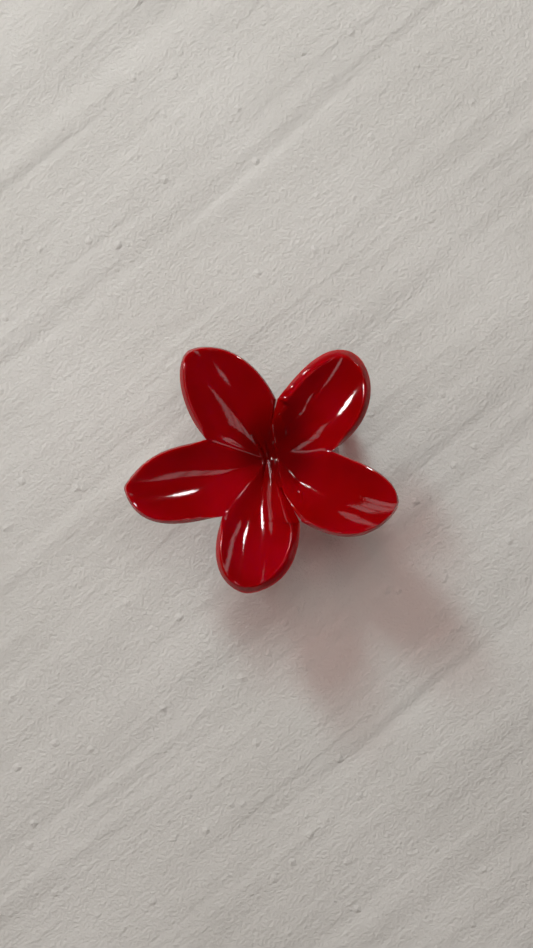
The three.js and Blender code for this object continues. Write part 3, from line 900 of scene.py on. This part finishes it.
def pale_plaster():
    """Trowelled plaster: fine grain, small pimples and long shallow diagonal strokes."""
    material, tree, shader = new_material("pale_plaster")
    place = node(tree, "ShaderNodeTexCoord").outputs["Object"]
    cloud = noise(tree, place, 14.0, 3.0, 0.5)
    tint = colour_ramp(
        tree, cloud, (0.3, (0.522, 0.520, 0.500)), (0.7, (0.575, 0.575, 0.558)))
    tree.links.new(tint.outputs["Color"], shader.inputs["Base Color"])

    normal = None
    layers = (
        # scale along, scale across, noise scale, detail, distortion, height in metres
        (0.08, 1.0, 30.0, 1.5, 0.6, 0.0040),
        (0.10, 1.0, 80.0, 2.0, 0.4, 0.0010),
        (0.70, 1.0, 210.0, 2.0, 0.0, 0.0004),
        (1.0, 1.0, 950.0, 5.0, 0.0, 0.0005),
    )
    for along, across, scale, detail, distortion, height in layers:
        turned = node(tree, "ShaderNodeMapping", {
            "Vector": place, "Rotation": (0, 0, -STROKE_SLANT)})
        drawn = node(tree, "ShaderNodeMapping", {
            "Vector": turned.outputs["Vector"], "Scale": (along, across, 1.0)})
        grain = noise(tree, drawn.outputs["Vector"], scale, detail, 0.6, distortion)
        normal = bumped(tree, grain, 1.0, height, normal)
    cells = node(tree, "ShaderNodeTexVoronoi", {"Vector": place, "Scale": 95.0})
    pimples = map_range(tree, cells.outputs["Distance"], 0.0, 0.14, 1.0, 0.0)
    tree.links.new(bumped(tree, pimples, 0.7, 0.0006, normal), shader.inputs["Normal"])
    shader.inputs["Roughness"].default_value = 0.85
    shader.inputs["Specular IOR Level"].default_value = 0.2
    return material


red = red_plastic()
for moulded in (three_half, two_half):
    moulded.data.materials.clear()
    moulded.data.materials.append(red)
pin.data.materials.append(steel("pin_steel_drawn", (0.62, 0.62, 0.63), 0.22, (1, 8, 1)))
spring.data.materials.append(steel("spring_steel_wire", (0.55, 0.55, 0.57), 0.28, (1, 1, 1)))


# ----------------------------------------------------------------- who rides on what
def half_nodes(label, petals, teeth):
    names = [f"{petal}_petal" for petal in petals]
    names += [f"{label}_jaw", f"{label}_neck"]
    names += [f"{label}_tooth_{i + 1}" for i in range(teeth)]
    return names + [f"{label}_hinge_eye_{i + 1}" for i in range(2)]


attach(three_half, "three_petal_half")
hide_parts("throat_floor",
            *half_nodes("three_petal", ("upper_left", "left", "lower"), 5))
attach(two_half, "two_petal_half")
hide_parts(*half_nodes("two_petal", ("upper_right", "right"), 4))
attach(pin, "three_petal_half")
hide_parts("hinge_pin")
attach(spring, "three_petal_half")
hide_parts("torsion_spring")


# --------------------------------------------------------- floor, lights and the camera
GROUND_SIZE = 3.0
AIM_Z = 0.04  # what every panel and lamp faces, over the origin
PANEL_DISTANCE, LAMP_DISTANCE = 1.5, 1.0


def floor():
    bm = bmesh.new()
    bmesh.ops.create_grid(bm, x_segments=1, y_segments=1, size=GROUND_SIZE)
    obj = new_object("plain_floor", bm)
    obj.data.materials.append(pale_plaster())


def area_light(name, azimuth, elevation, size, radiance, distance):
    """A panel that faces the flower. Azimuth is counted from +X towards +Y."""
    data = bpy.data.lights.new(name, "AREA")
    data.shape = "RECTANGLE"
    data.size, data.size_y = (2 * distance * math.tan(math.radians(d / 2)) for d in size)
    data.energy = radiance * math.pi * data.size * data.size_y
    lamp = bpy.data.objects.new(name, data)
    a, e = math.radians(azimuth), math.radians(elevation)
    away = Vector((math.cos(a) * math.cos(e), math.sin(a) * math.cos(e), math.sin(e)))
    across = Vector((-math.sin(a), math.cos(a), 0))
    spun = Matrix((across, away.cross(across), away)).transposed()
    lamp.location = Vector((0, 0, AIM_Z)) + away * distance
    lamp.rotation_mode = "QUATERNION"
    lamp.rotation_quaternion = spun.to_quaternion()
    bpy.context.scene.collection.objects.link(lamp)
    return lamp


# Panels that are only seen in the gloss: (azimuth, elevation), (width, height) in degrees,
# radiance, and (columns, rows) of panes.
REFLECTORS = {
    "spot_throat": ((100, 60.5), (4.5, 5), 45, (1, 1)),
    "spot_left": ((33, 50), (4.2, 6.5), 36, (1, 1)),
    "spot_upper_right": ((168, 36), (6, 5), 60, (1, 1)),
    "rim_upper_right": ((131, 4), (4, 4), 25, (1, 1)),
    "rim_lower": ((-20, 9), (20, 8), 0.35, (1, 1)),
    "window_upper_left": ((-20, 58), (10, 17), 1.3, (1, 3)),
    "window_right_high": ((143, 49), (26, 6), 1.5, (3, 1)),
    "window_right_low": ((102, 37), (9, 12), 1.3, (1, 2)),
    "window_upper_right_near": ((-78, 44.5), (6, 3.5), 1.9, (1, 1)),
    "window_upper_right_far": ((-103, 47.5), (6, 3), 1.9, (1, 1)),
    "window_lower": ((13, 32), (4, 20), 1.8, (1, 2)),
}
BAR_SHARE = 0.06  # of a window's width or height


def reflector(name, place, size, radiance, panes):
    columns, rows = panes
    for i in range(columns):
        for j in range(rows):
            width = size[0] * (1 - BAR_SHARE * (columns - 1)) / columns
            height = size[1] * (1 - BAR_SHARE * (rows - 1)) / rows
            right = (i - (columns - 1) / 2) * (width + size[0] * BAR_SHARE)
            up = (j - (rows - 1) / 2) * (height + size[1] * BAR_SHARE)
            azimuth = place[0] + right / math.cos(math.radians(place[1]))
            pane = area_light(f"{name}_{i}_{j}", azimuth, place[1] + up, (width, height),
                              radiance, PANEL_DISTANCE)
            pane.visible_diffuse = False
            pane.visible_camera = False
            pane.visible_transmission = False


VIEW_TURN = math.radians(-10.5)  # the direction of the picture's right, from +X
VIEW_PLANE_Z, VIEW_AWAY = 44.0, 330.0  # a plane's height, and the camera's above it
PICTURE_LINES, MM_PER_LINE = 948, 0.291  # on that plane
VIEW_CENTRE = (-0.44, -4.4)  # in the picture's right and up
SENSOR = 36.0


def camera():
    """Looks straight down on the open flower."""
    data = bpy.data.cameras.new("camera")
    data.sensor_fit = "VERTICAL"
    data.sensor_height = SENSOR
    data.lens = SENSOR * VIEW_AWAY / (PICTURE_LINES * MM_PER_LINE)
    obj = bpy.data.objects.new("camera", data)
    right = Vector((math.cos(VIEW_TURN), math.sin(VIEW_TURN), 0))
    up = Vector((-math.sin(VIEW_TURN), math.cos(VIEW_TURN), 0))
    aim = right * VIEW_CENTRE[0] + up * VIEW_CENTRE[1]
    obj.location = (aim + Vector((0, 0, VIEW_PLANE_Z + VIEW_AWAY))) * MM
    obj.rotation_euler = (0, 0, VIEW_TURN)
    bpy.context.scene.collection.objects.link(obj)
    bpy.context.scene.camera = obj


def room():
    """Pale near the horizon and dark overhead, so that the gloss stays deep."""
    world = bpy.data.worlds.new("room")
    world.use_nodes = True
    tree = world.node_tree
    background = tree.nodes["Background"]
    place = node(tree, "ShaderNodeTexCoord").outputs["Generated"]
    up = node(tree, "ShaderNodeSeparateXYZ", {"Vector": place}).outputs["Z"]
    fade = colour_ramp(tree, up, (0.02, (0.16, 0.15, 0.14)), (0.22, (0.015, 0.014, 0.014)))
    fade.color_ramp.interpolation = "EASE"
    tree.links.new(fade.outputs["Color"], background.inputs["Color"])
    background.inputs["Strength"].default_value = 1.0
    bpy.context.scene.world = world


# Lamps that light the scene but are not seen in the gloss: a tall window, a soft one
# nearly overhead, and the pale room round them.
LAMPS = {
    "key": ((112, 39), (8, 16), 50, (0.96, 1.0, 0.99)),
    "overhead": ((70, 72), (26, 26), 4.2, (1.0, 0.93, 0.88)),
    "surround": ((150, 55), (95, 95), 0.72, (1.0, 0.85, 0.78)),
}
floor()
for name, (place, size, radiance, colour) in LAMPS.items():
    lamp = area_light(name, *place, size, radiance, LAMP_DISTANCE)
    lamp.data.color = colour
    lamp.visible_glossy = False
    lamp.visible_camera = False
for name, row in REFLECTORS.items():
    reflector(name, *row)
room()
bpy.context.scene.view_settings.view_transform = "Standard"
camera()
